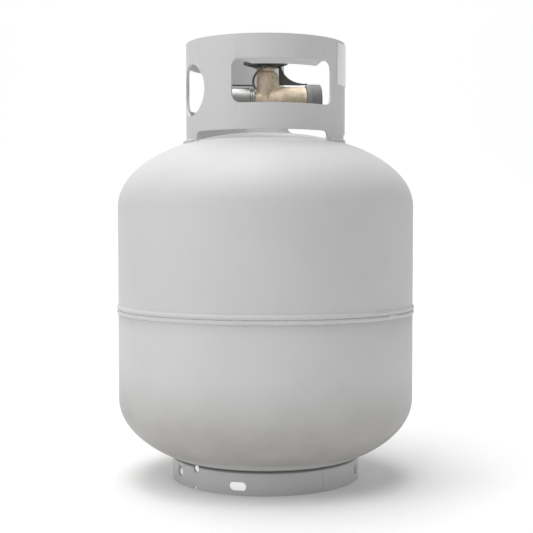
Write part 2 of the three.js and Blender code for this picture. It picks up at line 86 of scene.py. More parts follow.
BODY_R, SEAM_Z, _ = measure("upper_shell")
COLLAR_R, COLLAR_LOW, COLLAR_TOP = measure("collar")
FOOT_R, _, FOOT_TOP = measure("foot_ring")
_, VESSEL_LOW, _ = measure("lower_shell")
BOSS_R, BOSS_LOW, BOSS_TOP = measure("neck_boss")
_, WHEEL_LOW, WHEEL_TOP = measure("handwheel")
PORT_Z = sum(measure("relief_body")[1:]) / 2
OUTLET_AZIMUTH = 98.0
RELIEF_AZIMUTH = OUTLET_AZIMUTH - 180.0
BLEEDER_AZIMUTH = OUTLET_AZIMUTH + 90.0
print(f"body radius {BODY_R:.1f}, seam {SEAM_Z:.1f}, collar {COLLAR_R:.1f}, port {PORT_Z:.1f} mm")

# %% [markdown]
# Two helpers come first, because every later step needs them. An operator acts on all that is
# selected, so one helper adds a primitive with nothing else selected, and the other selects parts
# of a mesh by their place or their normal.

# %% Adding and choosing
def begin(name, add, **settings):
    """Adds a primitive with nothing else selected, and names it."""
    if bpy.context.mode != "OBJECT":
        bpy.ops.object.mode_set(mode="OBJECT")
    bpy.ops.object.select_all(action="DESELECT")
    add(**settings)
    piece = bpy.context.object
    piece.name = piece.data.name = name
    return piece


def choose(kind, test):
    """In edit mode, selects only the verts, edges or faces that pass a test.

    The test gets the item and its middle, in millimetres.
    """
    data = bpy.context.object.data
    bpy.ops.mesh.select_mode(type={"verts": "VERT", "edges": "EDGE", "faces": "FACE"}[kind])
    bpy.ops.mesh.select_all(action="DESELECT")
    mesh = bmesh.from_edit_mesh(data)
    for item in getattr(mesh, kind):
        corners = [item.co] if kind == "verts" else [v.co for v in item.verts]
        middle = sum(corners, Vector()) / len(corners) / MM
        if test(item, middle):
            item.select_set(True)
    bmesh.update_edit_mesh(data)


# %% [markdown]
# ## Studio
#
# The cylinder is seen as a buyer would see it on a shelf. The camera stands a little over a metre
# away, somewhat above half the cylinder's height, and looks slightly down. A long lens keeps the
# sides of the vessel nearly parallel.

# %% Camera
LOOK_DOWN = 2.44
scene = bpy.context.scene
scene.view_settings.view_transform = "Standard"
camera_data = bpy.data.cameras.new("camera")
camera = bpy.data.objects.new("camera", camera_data)
scene.collection.objects.link(camera)
camera_data.sensor_width = 36.0
camera_data.lens = 75.5
camera.location = (0.001, -1.185, 0.272)
camera.rotation_euler = (math.radians(90.0 - LOOK_DOWN), 0.0, 0.0)
scene.camera = camera
print(f"camera: {camera_data.lens} mm lens, {LOOK_DOWN} degrees down")

# %% [markdown]
# Floor and backdrop are one white sweep: a plane whose far edge is extruded upwards and whose
# crease is bevelled into a curve, so that no line shows where one turns into the other. It lies
# half a millimetre under the foot ring, because two surfaces in one plane would flicker.

# %% Sweep
SWEEP_SIZE, SWEEP_HEIGHT, SWEEP_CURVE, SWEEP_BELOW = 9.0, 6.0, 1.6, 0.0005
FAR_EDGE = 4000
sweep = begin("studio_sweep", bpy.ops.mesh.primitive_plane_add, size=SWEEP_SIZE,
              location=(0, 0, -SWEEP_BELOW))
bpy.ops.object.transform_apply()
bpy.ops.object.mode_set(mode="EDIT")
choose("edges", lambda edge, middle: middle.y > FAR_EDGE)
bpy.ops.mesh.extrude_region_move(TRANSFORM_OT_translate={"value": (0, 0, SWEEP_HEIGHT)})
choose("edges", lambda edge, middle: middle.y > FAR_EDGE and middle.z < 1)
bpy.ops.mesh.bevel(offset=SWEEP_CURVE, segments=12, affect="EDGES")
bpy.ops.object.mode_set(mode="OBJECT")
bpy.ops.object.shade_smooth()
print("sweep:", len(sweep.data.polygons), "faces")

# %% [markdown]
# A plain pale object is drawn by its lighting. A wide soft panel overhead gives the bright
# shoulder that fades down the wall. A second one, a little behind, shines down into the collar and
# onto the top of the vessel. A weaker panel on the left makes that side a little lighter than the
# right, and a faint one behind on the right keeps the dark edge clear of the backdrop.

# %% Lights
world = bpy.data.worlds.new("studio")
scene.world = world
world.use_nodes = True
background = world.node_tree.nodes["Background"]
background.inputs["Color"].default_value = (1.0, 1.0, 1.0, 1.0)
background.inputs["Strength"].default_value = 0.33


def panel(name, place, aim, size, power):
    """A soft square light panel that faces a point."""
    light = bpy.data.lights.new(name, "AREA")
    light.shape, light.size, light.energy = "SQUARE", size, power
    lamp = bpy.data.objects.new(name, light)
    scene.collection.objects.link(lamp)
    lamp.location = place
    lamp.rotation_euler = (Vector(aim) - Vector(place)).to_track_quat("-Z", "Y").to_euler()


panel("top_panel", (-0.6, -0.8, 2.5), (0.0, 0.0, 0.2), 2.2, 45.0)
panel("back_panel", (-0.2, 0.6, 2.4), (0.0, 0.0, 0.3), 1.6, 24.0)
panel("left_panel", (-2.3, -1.2, 1.1), (0.0, 0.0, 0.25), 1.3, 9.5)
panel("rim_panel", (2.2, 0.6, 0.35), (0.0, 0.0, 0.2), 1.0, 5.0)

# %% [markdown]
# ## Finishes
#
# Shader maths reads best as ordinary arithmetic. `Wire` wraps one socket, so that an expression
# such as `0.4 + grain * 0.2` adds the Math nodes by itself. `Finish` is one material: its `node` method
# takes a node's type, its settings and what goes into its sockets. All patterns use Object
# coordinates in metres, so a scale of 700 means 700 grains to the metre.

# %% Wire and Finish
class Wire:
    """One output socket in a finish, written in Python's own arithmetic."""

    def __init__(self, finish, socket):
        self.finish, self.socket = finish, socket

    def math(self, operation, *values):
        """One Math node on the values, which may be wires or numbers."""
        return self.finish.node("ShaderNodeMath", {"operation": operation}, dict(enumerate(values)))

    def __add__(self, other):
        return self.math("ADD", self, other)

    def __mul__(self, other):
        return self.math("MULTIPLY", self, other)

    def __pow__(self, other):
        return self.math("POWER", self, other)

    def sine(self):
        return self.math("SINE", self)

    __radd__ = __add__
    __rmul__ = __mul__


class Finish:
    """A material whose look is worked out from the place on the piece."""

    def __init__(self, name, **constants):
        self.material = bpy.data.materials.new(name)
        self.material.use_nodes = True
        self.tree = self.material.node_tree
        self.shader = self.tree.nodes["Principled BSDF"]
        for socket, value in constants.items():
            self.shader.inputs[socket.replace("_", " ")].default_value = value
        self.place = self.node("ShaderNodeTexCoord", {}, {}, "Object")

    def node(self, kind, settings, inputs, output=0):
        """Adds a node with its settings, fills or links its sockets and gives back one output."""
        node = self.tree.nodes.new(kind)
        for setting, value in settings.items():
            setattr(node, setting, value)
        for socket, value in inputs.items():
            if isinstance(value, Wire):
                self.tree.links.new(value.socket, node.inputs[socket])
            else:
                node.inputs[socket].default_value = value
        return Wire(self, node.outputs[output])

    def noise(self, scale, detail=2.0, roughness=0.5):
        """A cloud of grey from 0 to 1, with scale grains to the metre."""
        inputs = {"Vector": self.place, "Scale": scale, "Detail": detail, "Roughness": roughness}
        return self.node("ShaderNodeTexNoise", {}, inputs)

    def axis(self, letter):
        """The X, Y or Z of the place, in metres."""
        return self.node("ShaderNodeSeparateXYZ", {}, {0: self.place}, letter)

    def azimuth(self):
        """The angle round the vertical axis, in radians."""
        y = self.axis("Y")
        return y.math("ARCTAN2", y, self.axis("X"))

    def fade(self, value, start, end):
        """0 before start, 1 past end, with a soft step between. Start may be above end."""
        inputs = {"Value": value, "From Min": start, "From Max": end}
        return self.node("ShaderNodeMapRange", {"interpolation_type": "SMOOTHSTEP"}, inputs)

    def blend(self, mask, first, second):
        """The first colour where mask is 0 and the second where it is 1."""
        colours = {6: first, 7: second}
        return self.node("ShaderNodeMix", {"data_type": "RGBA"}, {0: mask, **colours}, 2)

    def bump(self, height, distance, strength=1.0, under=None):
        """A rough skin from a height, over another one if there is one under it."""
        inputs = {"Height": height, "Distance": distance, "Strength": strength}
        if under is not None:
            inputs["Normal"] = under
        return self.node("ShaderNodeBump", {}, inputs)

    def show(self, **wires):
        """Connects the worked-out values to the shader and gives back the material."""
        for socket, wire in wires.items():
            self.tree.links.new(wire.socket, self.shader.inputs[socket.replace("_", " ")])
        return self.material


def grey(value, tint=(1.0, 1.0, 1.0)):
    """A colour of one brightness, with a slight tint."""
    return (*(value * t for t in tint), 1.0)


# %% [markdown]
# ### Powder coat
#
# Powder coat is sprayed dry and melted in an oven, so it flows into a satin skin with a very fine
# orange peel. Its colour is even, but never perfectly so: thin areas are a little darker and handling
# leaves faint dull patches. The lower head gets painted shade, a darker warm grey, and painted shadow
# darkens the crevice over the foot ring. The weld beads are under the same coat, so they share the
# colour and add the ripples of the bead.

# %% Powder coat, plain and over a weld
COAT_TINT = (0.998, 1.0, 1.004)
# Painted shade on the lower head: it grows between the first two heights and stops above the foot ring.
UNDERSIDE_SHADE_FROM, UNDERSIDE_SHADE_FULL = 0.13, 0.04
RING_UNSHADED_FROM, RING_UNSHADED_FULL = 0.036, 0.027
# Painted shadow: a dark band at these heights, in the crevice between the foot ring and the lower head.
CREVICE_SHADE_LOW, CREVICE_SHADE_HIGH = (0.0212, 0.0226), (0.0268, 0.0248)
RIPPLE_LEAN = 900.0


def powder_coat(name, value, weld_ripples=0):
    """Satin grey coat. weld_ripples is how many ripples a bead has round the vessel, over 2 pi."""
    coat = Finish(name, Specular_IOR_Level=0.42, Coat_Roughness=0.3)
    height = coat.axis("Z")
    cloud = coat.noise(7.0, 3.0)
    patch = coat.noise(31.0, 4.0, 0.6)
    thin, full = grey(value * 0.965, COAT_TINT), grey(value, COAT_TINT)
    base = coat.blend(coat.fade(cloud, 0.3, 0.7), thin, full)
    handled = grey(value * 0.87, (1.0, 0.99, 0.96))
    dull = coat.blend(coat.fade(patch, 0.52, 0.78) * 0.22, base, handled)
    # Painted shade: the lower head turns a patchy, darker warm grey, ending above the foot ring.
    low = coat.fade(height, UNDERSIDE_SHADE_FROM, UNDERSIDE_SHADE_FULL) * coat.fade(height, RING_UNSHADED_FULL, RING_UNSHADED_FROM)
    underside_shaded = coat.blend(low * (0.6 + patch * 0.6), dull, grey(value * 0.6, (1.03, 1.0, 0.93)))
    # Painted shadow: a near-black band in the crevice over the foot ring.
    crevice_shade = coat.fade(height, *CREVICE_SHADE_LOW) * coat.fade(height, *CREVICE_SHADE_HIGH)
    colour = coat.blend(crevice_shade * 0.8, underside_shaded, grey(value * 0.2, (1.02, 1.0, 0.95)))
    peel = coat.noise(620.0, 2.0)
    fine = coat.noise(2100.0, 1.0)
    skin = coat.bump(peel + fine * 0.35, 0.00012, 0.35)
    if weld_ripples:
        lean = (height * RIPPLE_LEAN).sine() * 1.3
        ripple = (coat.azimuth() * weld_ripples + lean + patch * 2.5).sine()
        skin = coat.bump(ripple, 0.0002, 0.5, skin)
    rough = 0.43 + patch * 0.14 + peel * 0.05
    return coat.show(Base_Color=colour, Roughness=rough, Normal=skin)


FINISHES = {
    "painted_steel": powder_coat("powder_coat", 0.59),
    "painted_weld": powder_coat("coated_weld", 0.61, weld_ripples=440),
}
print("coats:", ", ".join(FINISHES))

# %% [markdown]
# ### Metals
#
# Forged brass dulls to a brown-gold with darker, greener hollows and bright rubbed spots. Plated
# steel is greyer and finely grained. The roughness changes over both, because that is what makes
# metal look handled, and the dull skin on the brass takes away part of its metallic shine.

# %% Brass, nickel and zinc
BRASS_DARK, BRASS_LIGHT = (0.50, 0.44, 0.31, 1), (0.74, 0.65, 0.50, 1)
BRASS_ROSY, BRASS_GREENISH = (0.70, 0.53, 0.43, 1), (0.35, 0.32, 0.22, 1)


def brass():
    """Forged brass, mottled by its dull skin."""
    metal = Finish("forged_brass", Metallic=0.62)
    cloud = metal.noise(95.0, 4.0, 0.6)
    spot = metal.noise(420.0, 3.0, 0.65)
    drift = metal.noise(38.0, 2.0)
    warm = metal.blend(metal.fade(cloud, 0.35, 0.68), BRASS_DARK, BRASS_LIGHT)
    rosy = metal.blend(metal.fade(drift, 0.42, 0.62) * 0.5, warm, BRASS_ROSY)
    colour = metal.blend(metal.fade(spot, 0.54, 0.72) * 0.75, rosy, BRASS_GREENISH)
    rough = 0.42 + cloud * 0.22 + spot * 0.08
    cast = metal.bump(spot + cloud * 0.8, 0.0005, 0.5)
    return metal.show(Base_Color=colour, Roughness=rough, Normal=cast)


def plated(name, value, tint):
    """Nickel or zinc plate, a little cloudy."""
    metal = Finish(name, Metallic=1.0)
    cloud = metal.noise(130.0, 3.0)
    grain = metal.noise(1400.0, 2.0)
    colour = metal.blend(cloud, grey(value * 0.82, tint), grey(value, tint))
    rough = 0.26 + cloud * 0.2 + grain * 0.1
    return metal.show(Base_Color=colour, Roughness=rough, Normal=metal.bump(grain, 0.0001, 0.4))


FINISHES["brass"] = brass()
FINISHES["nickel_plate"] = plated("dull_nickel", 0.46, (1.0, 0.995, 0.97))
FINISHES["zinc_steel"] = plated("zinc_plate", 0.56, (0.98, 0.99, 1.02))
print("metals added:", len(FINISHES), "finishes")

# %% [markdown]
# ### Plastics, rubber and the plate
#
# Moulded plastic has a spark-eroded grain and pale scuffs where it is rubbed. Rubber is darker and
# duller. The blank plate is printed aluminium under a thin clear skin. The studio's paper is white
# and matt, and lit from behind as on a light table: weakly all over, and more strongly far away
# and in the round of it inside the foot ring, so that the slots show as bright openings.

# %% Plastics, rubber and plate
def moulded(name, value, tint=(1.0, 1.0, 1.0), rough=0.5):
    """Plastic or rubber with a fine grain and pale scuffs."""
    plastic = Finish(name, Specular_IOR_Level=0.45)
    grain = plastic.noise(1500.0, 2.0)
    scuff = plastic.noise(160.0, 5.0, 0.7)
    worn = plastic.fade(scuff, 0.58, 0.72) * 0.5
    colour = plastic.blend(worn, grey(value, tint), grey(value * 1.7 + 0.01, tint))
    skin = plastic.bump(grain, 0.00012, 0.5)
    return plastic.show(Base_Color=colour, Roughness=rough + scuff * 0.18, Normal=skin)


def plate_skin():
    """Printed aluminium under a thin clear skin."""
    plate = Finish("plate_skin", Metallic=0.15, Coat_Weight=0.25, Coat_Roughness=0.2)
    cloud = plate.noise(60.0, 3.0)
    grain = plate.noise(900.0, 2.0)
    colour = plate.blend(cloud, grey(0.78, COAT_TINT), grey(0.85, COAT_TINT))
    rough = 0.34 + cloud * 0.12
    return plate.show(Base_Color=colour, Roughness=rough, Normal=plate.bump(grain, 0.00008, 0.3))


GLOW_EVERYWHERE = 0.2
BACKDROP_FROM, BACKDROP_FULL = 0.4, 3.2
RING_INSIDE, RING_FULL = 0.0955, 0.0935


def paper():
    """White paper, lit from behind."""
    sheet = Finish("white_paper", Specular_IOR_Level=0.2, Emission_Strength=0.5)
    cloud = sheet.noise(1.3, 2.0)
    tooth = sheet.noise(900.0, 2.0)
    colour = sheet.blend(cloud, grey(0.80), grey(0.83))
    far = sheet.fade(sheet.axis("Y"), BACKDROP_FROM, BACKDROP_FULL)
    reach = (sheet.axis("X") ** 2.0 + sheet.axis("Y") ** 2.0) ** 0.5
    # Painted light: the paper glows more inside the foot ring, where the vessel would shade the floor.
    under = sheet.fade(reach, RING_INSIDE, RING_FULL)
    glow = sheet.blend(far + under + GLOW_EVERYWHERE, grey(0.0), grey(1.0))
    skin = sheet.bump(tooth, 0.0001, 0.2)
    return sheet.show(Base_Color=colour, Emission_Color=glow, Roughness=0.8 + cloud * 0.1, Normal=skin)


FINISHES["plate_metal"] = plate_skin()
FINISHES["black_plastic"] = moulded("black_moulding", 0.092, (1.0, 0.99, 0.97))
FINISHES["cap_plastic"] = moulded("cap_moulding", 0.23, (1.0, 1.01, 1.0), 0.45)
FINISHES["rubber"] = moulded("black_rubber", 0.018, rough=0.66)
FINISHES["float_plastic"] = moulded("float_moulding", 0.30, (1.0, 1.02, 0.94))
sweep.data.materials.append(paper())
print(len(FINISHES), "finishes")

# %% [markdown]
# ## Ways of shaping
#
# Nearly everything on a gas cylinder is turned, pressed round an axis or bent round one. So the
# main tool is the spin: one vertex is extruded from point to point to draw a profile, and the
# profile is spun about the vertical axis. A full turn closes on itself; a part turn gets its two
# ends filled.

# %% Turning
def in_edit(piece):
    """Selects one piece alone and opens it in edit mode."""
    if bpy.context.mode != "OBJECT":
        bpy.ops.object.mode_set(mode="OBJECT")
    bpy.ops.object.select_all(action="DESELECT")
    piece.select_set(True)
    bpy.context.view_layer.objects.active = piece
    bpy.ops.object.mode_set(mode="EDIT")


def close_up(fill=False):
    """Merges doubles, fills open ends if asked, points all faces outwards and leaves edit mode."""
    bpy.ops.mesh.select_mode(type="VERT")
    bpy.ops.mesh.select_all(action="SELECT")
    bpy.ops.mesh.remove_doubles(threshold=0.002 * MM)
    if fill:
        bpy.ops.mesh.fill_holes(sides=0)
        bpy.ops.mesh.select_all(action="SELECT")
    bpy.ops.mesh.normals_make_consistent(inside=False)
    bpy.ops.object.mode_set(mode="OBJECT")


def draw(name, points):
    """Leaves in edit mode a chain of edges through the points, given in metres."""
    piece = begin(name, bpy.ops.mesh.primitive_plane_add, size=MM)
    bpy.ops.object.mode_set(mode="EDIT")
    bpy.ops.mesh.select_mode(type="VERT")
    bpy.ops.mesh.merge(type="CENTER")
    bpy.ops.transform.translate(value=points[0])
    for here, there in zip(points, points[1:]):
        step = {"value": there - here}
        bpy.ops.mesh.extrude_region_move(TRANSFORM_OT_translate=step)
    return piece


def turned(name, profile, steps=160, start=0.0, sweep=360.0):
    """Spins a profile of (radius, z), in millimetres, about the vertical axis."""
    out = radial(start)
    piece = draw(name, [(out * r + Vector((0, 0, z))) * MM for r, z in profile])
    bpy.ops.mesh.select_all(action="SELECT")
    turn = math.radians(sweep)
    bpy.ops.mesh.spin(steps=steps, angle=-turn, center=(0, 0, 0), axis=(0, 0, 1))
    close_up(fill=sweep < 360.0)
    return piece


def ring(name, inner, outer, low, high, steps=240, start=0.0, sweep=360.0):
    """A ring, or part of one, with a rectangular section."""
    corners = [(inner, low), (outer, low), (outer, high), (inner, high), (inner, low)]
    return turned(name, corners, steps, start, sweep)


def arc(centre_r, centre_z, radius, start, end, points=8):
    """Points of an arc in a profile, with angles in degrees from outwards towards up."""
    angles = [math.radians(start + (end - start) * k / points) for k in range(points + 1)]
    return [(centre_r + radius * math.cos(a), centre_z + radius * math.sin(a)) for a in angles]


# %% [markdown]
# Holes are cut with a Boolean modifier, whose cutter is then thrown away, and the cut edges get a
# small bevel, because no real edge is quite sharp. What sticks out of the valve sideways is turned
# upright first and then laid level.

# %% Cutting, softening and laying level
def apply(piece, kind, **settings):
    """Adds a modifier and applies it at once."""
    bpy.ops.object.select_all(action="DESELECT")
    piece.select_set(True)
    bpy.context.view_layer.objects.active = piece
    modifier = piece.modifiers.new(kind.lower(), kind)
    for setting, value in settings.items():
        setattr(modifier, setting, value)
    bpy.ops.object.modifier_apply(modifier=modifier.name)
    return piece


def cut(piece, *cutters, operation="DIFFERENCE"):
    """Cuts the cutters away from a piece, or joins or intersects them, and removes them."""
    for cutter in cutters:
        apply(piece, "BOOLEAN", object=cutter, operation=operation, solver="EXACT")
        bpy.data.objects.remove(cutter)
    return piece


def soften(piece, width, segments=2, angle=40.0):
    """Bevels every edge that turns by more than the angle. Width is in millimetres."""
    limit = math.radians(angle)
    return apply(piece, "BEVEL", width=width * MM, segments=segments, limit_method="ANGLE",
                 angle_limit=limit, miter_outer="MITER_ARC")


def lay(piece, azimuth, z=PORT_Z):
    """Lays a piece made along +Z level, pointing away from the axis at an azimuth."""
    bpy.ops.object.select_all(action="DESELECT")
    piece.select_set(True)
    bpy.context.view_layer.objects.active = piece
    piece.rotation_euler = (0.0, math.pi / 2, math.radians(azimuth - 90.0))
    piece.location = (0.0, 0.0, z * MM)
    bpy.ops.object.transform_apply()
    return piece


def drill(radius, azimuth, z, near=60.0, far=140.0, vertices=48):
    """A level round cutter that runs outwards at an azimuth."""
    tool = begin("drill", bpy.ops.mesh.primitive_cylinder_add, radius=radius * MM,
                 depth=(far - near) * MM, vertices=vertices, location=(0, 0, (far + near) / 2 * MM))
    bpy.ops.object.transform_apply()
    return lay(tool, azimuth, z)


# %% [markdown]
# A finished piece gets its material and its shading. Then it is parented to the body that it rides
# on, and the nodes of the engineering model that it stands for are hidden.

# %% Dressing a piece
finished = []


def dress(piece, body, slot, *nodes, smooth=35.0):
    """Gives a piece its finish, its shading, its body and the nodes it stands for."""
    bpy.ops.object.select_all(action="DESELECT")
    piece.select_set(True)
    bpy.context.view_layer.objects.active = piece
    bpy.ops.object.shade_smooth_by_angle(angle=math.radians(smooth))
    piece.data.materials.clear()
    piece.data.materials.append(FINISHES[slot])
    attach(piece, body)
    if nodes:
        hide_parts(*nodes)
    finished.append(piece.name)
    print(f"{piece.name}: {len(piece.data.polygons)} faces")


# %% [markdown]
# ## The vessel
#
# Each half is pressed from one flat blank in a deep-drawing press. The head is close to an
# ellipse, a little fuller at the shoulder, so its profile is a superellipse with a power just over
# two. Both halves are closed walls with an inner skin, and the lower one is joggled in at its rim
# so that it slips inside the upper one before they are welded.

# %% Upper and lower vessel halves
WALL = 1.95
HEAD_POWER = 2.05
UPPER_TANGENT, UPPER_RISE = 284.4, 78.2
LOWER_TANGENT = 85.2
LOWER_RISE = LOWER_TANGENT - VESSEL_LOW


def head(radius, rise, innermost, points):
    """A head's profile from its rim inwards, as (radius, height over the tangent line)."""
    last = math.acos((innermost / radius) ** (HEAD_POWER / 2))
    bend = 2 / HEAD_POWER
    for k in range(points + 1):
        t = last * k / points
        r = radius * max(math.cos(t), 0.0) ** bend if k < points else innermost
        yield r, rise * math.sin(t) ** bend


VESSEL_STEPS = 192
LAP_HEIGHT = 12
boss_hole = BOSS_R + 0.2
upper = [(BODY_R, SEAM_Z)]
upper += [(r, UPPER_TANGENT + z) for r, z in head(BODY_R, UPPER_RISE, boss_hole, 40)]
upper_inner = list(head(BODY_R - WALL, UPPER_RISE - WALL, boss_hole, 16))
upper += [(r, UPPER_TANGENT + z) for r, z in reversed(upper_inner)]
upper += [(BODY_R - WALL, SEAM_Z), (BODY_R, SEAM_Z)]
dress(turned("upper_half", upper, VESSEL_STEPS), "tank", "painted_steel", "upper_shell")

LAP_R = BODY_R - WALL - 0.4
lower_outer = list(head(BODY_R, LOWER_RISE, 0.0, 44))
lower = [(r, LOWER_TANGENT - z) for r, z in reversed(lower_outer)]
lower += [(BODY_R, SEAM_Z - 4), (LAP_R, SEAM_Z - 0.5), (LAP_R, SEAM_Z + LAP_HEIGHT)]
lower += [(LAP_R - WALL, SEAM_Z + LAP_HEIGHT), (LAP_R - WALL, SEAM_Z)]
lower += [(BODY_R - WALL, SEAM_Z - 5)]
lower += [(r, LOWER_TANGENT - z) for r, z in head(BODY_R - WALL, LOWER_RISE - WALL, 0.0, 18)]
dress(turned("lower_half", lower, VESSEL_STEPS), "tank", "painted_steel", "lower_shell")

# %% [markdown]
# The girth weld is laid in two passes, which leave two rounded ridges with a groove between. The
# profile is two arcs, spun with many steps, and a Displace modifier with a cloud texture makes the
# bead uneven, as a real one is. Where the welder stops and starts again the bead is thicker: that
# is a short extra length with its ends drawn in.

# %% Girth weld
def uneven(piece, strength, grain):
    """Roughens a bead with a cloud texture."""
    cloud = bpy.data.textures.new("bead_cloud", "CLOUDS")
    cloud.noise_scale = grain * MM
    cloud.noise_depth = 2
    return apply(piece, "DISPLACE", texture=cloud, strength=strength * MM, mid_level=0.5)


BEAD_R = 2.4
bead = [(BODY_R - 0.8, SEAM_Z - 4.9)] + arc(BODY_R - 1.0, SEAM_Z - 2.3, BEAD_R, -70, 68)
bead += arc(BODY_R - 1.0, SEAM_Z + 2.5, BEAD_R + 0.2, -66, 70) + [(BODY_R - 0.8, SEAM_Z + 5.2)]
bead += [bead[0]]
dress(uneven(turned("girth_bead", bead, 720), 0.7, 7.0), "tank", "painted_weld", "girth_weld")


NOSE = 0.35


def bead_length(name, centre_r, centre_z, radius, start, sweep):
    """A short length of bead whose ends are drawn in to small round noses."""
    loop = arc(centre_r, centre_z, radius, 0, 360, 12)
    piece = turned(name, loop, max(6, int(sweep * 2)), start, sweep)
    in_edit(piece)
    for azimuth in (start, start + sweep):
        out, across = radial(azimuth), radial(azimuth + 90)
        choose("verts", lambda v, middle: abs(middle.dot(across)) < 0.02
               and middle.dot(out) > 0)
        centre = (out * centre_r + Vector((0, 0, centre_z))) * MM
        bpy.ops.transform.resize(value=(NOSE, NOSE, NOSE), center_override=centre)
    bpy.ops.object.mode_set(mode="OBJECT")
    return apply(piece, "SUBSURF", levels=1, render_levels=1)


stop = bead_length("weld_stop", BODY_R - 0.6, SEAM_Z + 2.6, 2.9, 44.0, 7.5)
dress(uneven(stop, 1.2, 5.0), "tank", "painted_weld")
restart = bead_length("weld_restart", BODY_R - 0.6, SEAM_Z - 1.2, 2.8, 50.0, 5.5)
dress(uneven(restart, 1.2, 4.0), "tank", "painted_weld")

# %% [markdown]
# The neck boss is a turned ring welded into the top. Its weld is a fillet, which is a triangle
# with a slightly hollow face, spun round.

# %% Neck boss and its weld
boss = [(13.2, BOSS_LOW), (BOSS_R, BOSS_LOW), (BOSS_R, BOSS_TOP - 1.2), (BOSS_R - 1.2, BOSS_TOP)]
boss += [(14.4, BOSS_TOP), (13.2, BOSS_TOP - 1.2), (13.2, BOSS_LOW)]
dress(turned("neck_ring", boss, 96), "tank", "painted_steel", "neck_boss")
fillet = [(BOSS_R - 0.3, 361.0), (28.4, 360.9)] + arc(30.6, 369.3, 7.6, 250, 195, 5)
fillet += [(BOSS_R - 0.3, 367.0), (BOSS_R - 0.3, 361.0)]
dress(uneven(turned("neck_fillet", fillet, 180), 0.6, 4.0), "tank", "painted_weld", "boss_weld")

# %% [markdown]
# ## The guard collar
#
# The real collar is a strip of sheet, punched flat and then rolled into an open ring. Here a
# closed ring is spun first and the openings are cut with tools that are themselves part-turn
# rings, so their ends run along the radius as punched edges do after rolling. A tool's corner
# radius comes from bevelling the four edges that run along the radius.

# %% A window tool with rounded corners
TOOL_INNER, TOOL_OUTER = 62, 120


def window_tool(start, end, low, high, corners, steps):
    """A part-turn block. corners gives the bevel of its lower and upper radial edges."""
    tool = ring("window_tool", TOOL_INNER, TOOL_OUTER, low, high, steps, start, end - start)
    in_edit(tool)
    sides = [radial(start + 90), radial(end + 90)]
    ends = [radial(start), radial(end)]

    def on_corner(z):
        def test(edge, middle):
            along = (edge.verts[0].co - edge.verts[1].co).normalized()
            near = any(abs(middle.dot(side)) < 0.05 and middle.dot(out) > 0
                       for side, out in zip(sides, ends))
            return near and abs(along.z) < 0.1 and abs(middle.z - z) < 0.05
        return test

    for z, size in zip((low, high), corners):
        if size:
            choose("edges", on_corner(z))
            bpy.ops.mesh.bevel(offset=size * MM, segments=8, affect="EDGES")
    close_up()
    return tool


# %% [markdown]
# The openings of the collar are then a short list: the front window, a second window at the rear,
# the wide gap on the valve's side, the round hand hole, and the low cut-outs that leave feet to
# weld.

# %% Guard collar
WINDOW_LOW, WINDOW_HIGH, WINDOW_CORNER = 386.5, 430.5, 9.0
FRONT_WINDOW = (-24.0, 53.0)
REAR_WINDOW = (-140.0, -94.0)
VALVE_GAP = (90.0, 165.6)
HAND_AZIMUTH, HAND_Z, HAND_R = -66.0, 403.3, 26.5
COLLAR_SHEET = 2.6
SKIRT_Z = 360.6
SKIRTS = ((-57.0, 49.0, 9), (76.0, 102.0, 2), (187.0, 218.0, 3), (240.0, 272.0, 3))
GAP_CORNER, SKIRT_CORNER = 11.0, 5.0
FOOT_SUNK = 1.5
MERGE = 0.05

collar_foot = COLLAR_LOW - FOOT_SUNK
collar = ring("guard_collar", COLLAR_R - COLLAR_SHEET, COLLAR_R, collar_foot, COLLAR_TOP, 240)
strip = window_tool(VALVE_GAP[1] - 360, VALVE_GAP[0], COLLAR_LOW - 9, COLLAR_TOP,
                    (0, GAP_CORNER), 24)
cut(collar, strip, operation="INTERSECT")
cut(collar, window_tool(*FRONT_WINDOW, WINDOW_LOW, WINDOW_HIGH, (WINDOW_CORNER,) * 2, 6))
cut(collar, window_tool(*REAR_WINDOW, WINDOW_LOW, WINDOW_HIGH, (WINDOW_CORNER,) * 2, 4))
cut(collar, drill(HAND_R, HAND_AZIMUTH, HAND_Z, vertices=96))
for start, end, steps in SKIRTS:
    cut(collar, window_tool(start, end, COLLAR_LOW - 20, SKIRT_Z, (0, SKIRT_CORNER), steps))
in_edit(collar)
bpy.ops.mesh.select_all(action="SELECT")
bpy.ops.mesh.remove_doubles(threshold=MERGE * MM)
bpy.ops.object.mode_set(mode="OBJECT")
soften(collar, 0.8, 3)
dress(collar, "tank", "painted_steel", "collar")

# %% [markdown]
# The top edge of the front window is hemmed: the sheet is folded inwards and down, so that a hand
# lifting the cylinder feels a rounded lip and not a cut edge. The hem is a part-turn strip. Near
# its two ends the lower edge is raised step by step, to give the slanted ends of a real hem.

# %% Window hem
HEM_DROP, HEM_REACH = 5.1, 6.4
HEM_START, HEM_END = 2.5, 8.0
HEM_STEPS, LEFT_TAPER, RIGHT_TAPER = 48, 11.0, 2.5
inside = COLLAR_R - COLLAR_SHEET
hem = [(COLLAR_R - 0.4, WINDOW_HIGH + 1.4)] + arc(inside + 0.6, WINDOW_HIGH + 0.9, 1.9, -30, -80, 3)
hem += [(inside - HEM_REACH + 1.7, WINDOW_HIGH - HEM_DROP), (inside - HEM_REACH, WINDOW_HIGH - HEM_DROP)]
hem += [(inside - 1.6, WINDOW_HIGH + 1.0), (inside - 0.6, WINDOW_HIGH + 2.6)]
hem += [(inside + 1.0, WINDOW_HIGH + 2.8), hem[0]]
first, last = FRONT_WINDOW[0] + HEM_START, FRONT_WINDOW[1] - HEM_END
lip = turned("window_hem", hem, HEM_STEPS, first, last - first)
in_edit(lip)
